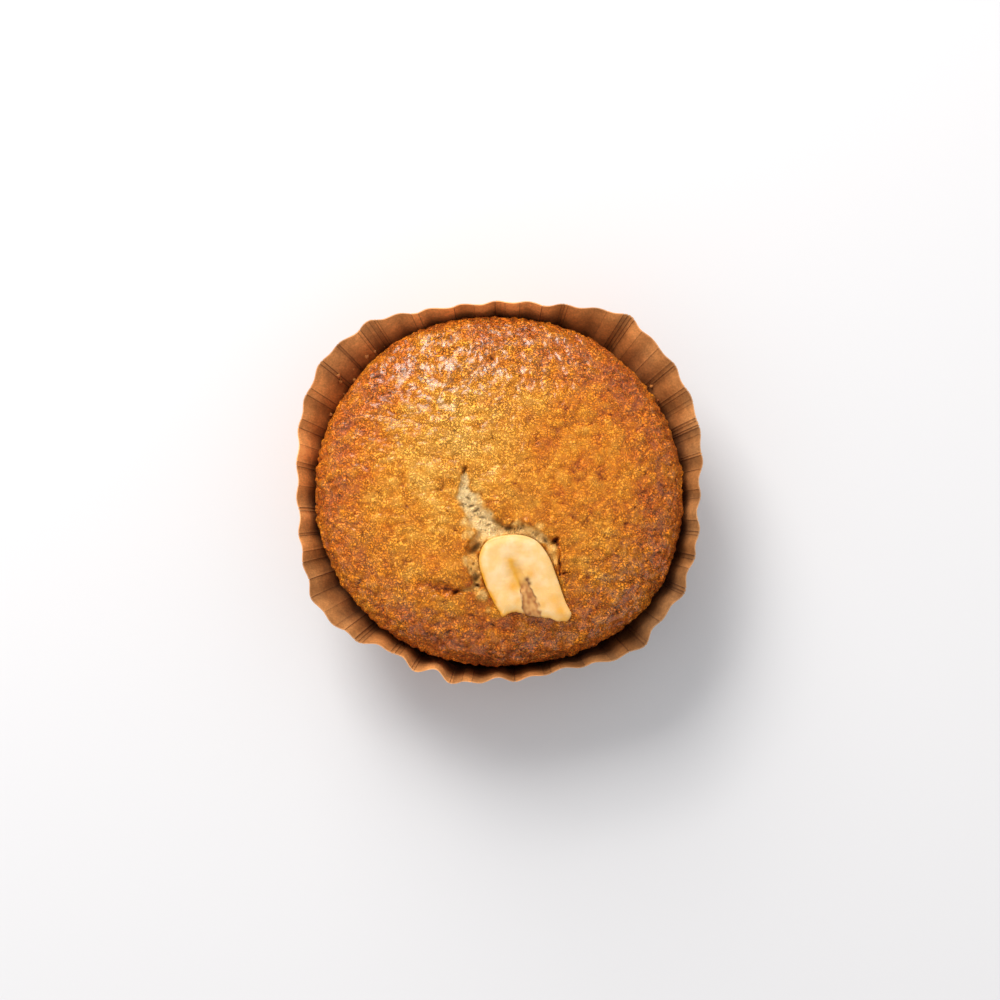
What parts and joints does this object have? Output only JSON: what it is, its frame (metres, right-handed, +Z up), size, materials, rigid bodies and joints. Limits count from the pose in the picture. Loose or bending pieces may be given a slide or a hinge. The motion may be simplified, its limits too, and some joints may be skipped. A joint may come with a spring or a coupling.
{
  "type": "banana bread",
  "caption": "Round domed banana bread in its pleated brown paper baking case, with a piece of dried banana chip pressed into its cracked golden crust.",
  "frame": {"origin": "under the middle of the case's rim outline, on the flat foot that it rests on", "axes": "+Z up; +Y away from the broken end of the banana chip; +X to the right, along the longer way of the rim"},
  "size_m": [0.11, 0.1036, 0.0491],
  "materials": {
    "crust": "moist golden-brown baked crust",
    "brown_paper": "matt greaseproof brown paper",
    "banana_chip": "waxy dried banana"
  },
  "bodies": {
    "root": {"banana_bread": "crust", "paper_case": "brown_paper", "banana_chip": "banana_chip"}
  },
  "joints": []
}
